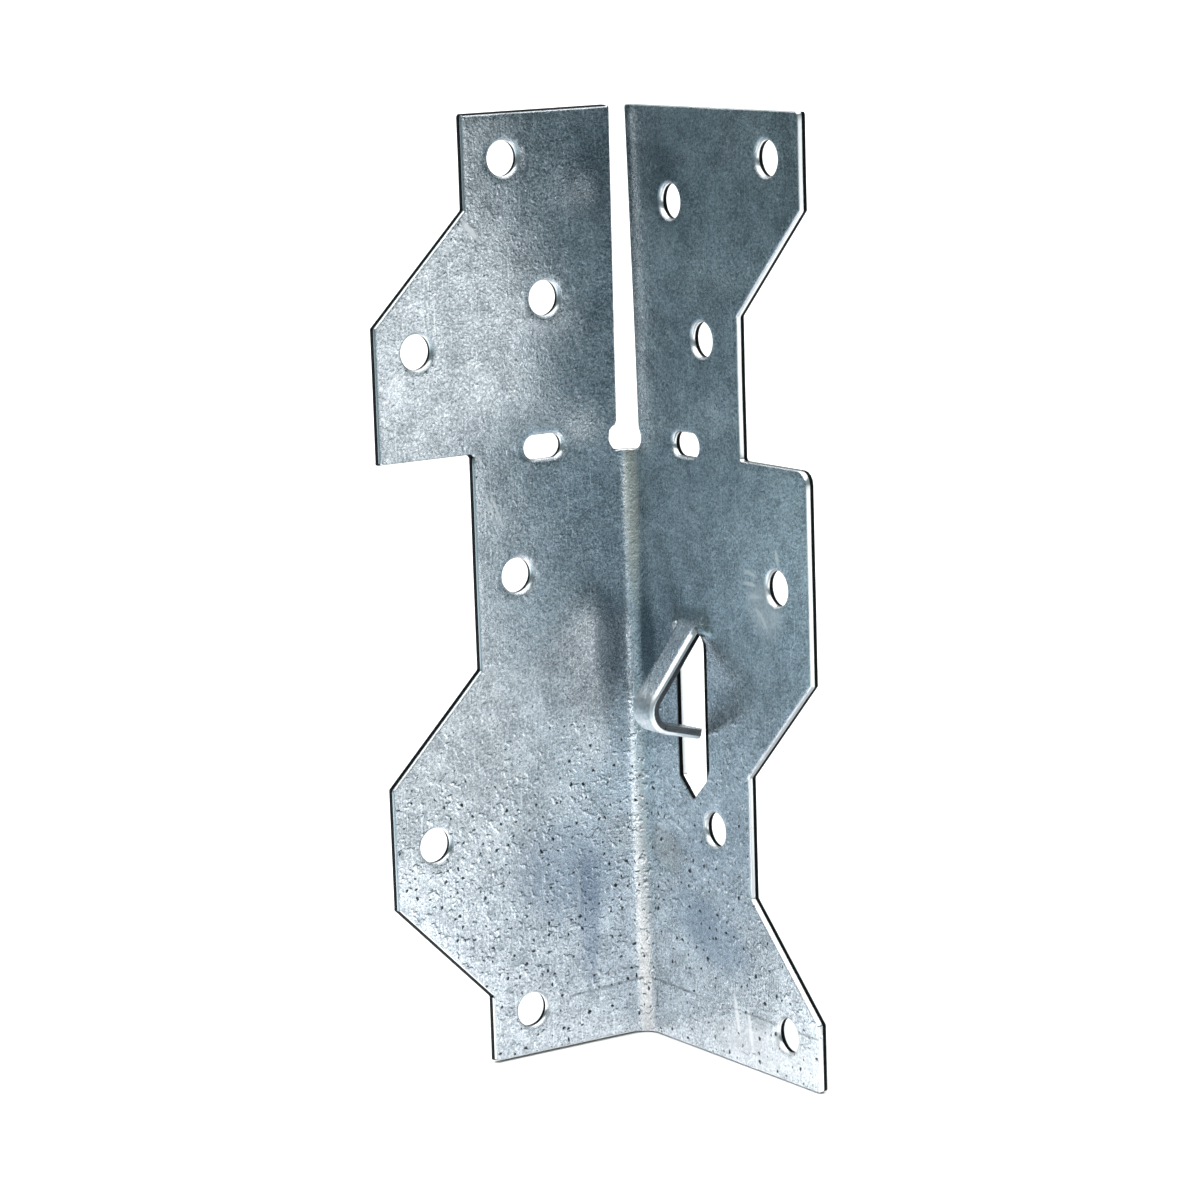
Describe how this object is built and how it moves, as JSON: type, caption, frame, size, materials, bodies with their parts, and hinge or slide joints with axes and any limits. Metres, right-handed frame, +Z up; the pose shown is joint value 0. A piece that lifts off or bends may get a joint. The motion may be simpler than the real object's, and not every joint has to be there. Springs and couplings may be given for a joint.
{
  "type": "framing angle",
  "caption": "Folded sheet-steel framing angle with notched legs, nail holes, a slit fold with bend slots at the top and a lanced prong, for fixing two timbers at a corner.",
  "frame": {"origin": "middle of the bottom of the bounding box, at floor level, on the hollow side of the fold", "axes": "+Z up along the fold, from the plain end to the slit end; the right leg runs along X and its back faces +Y; the left leg runs along Y and its back faces -X"},
  "size_m": [0.0364, 0.0364, 0.1143],
  "materials": {
    "galvanised_sheet": "hot-dip galvanised, fine spangle, satin"
  },
  "bodies": {
    "root": {"framing_angle": "galvanised_sheet"}
  },
  "joints": []
}
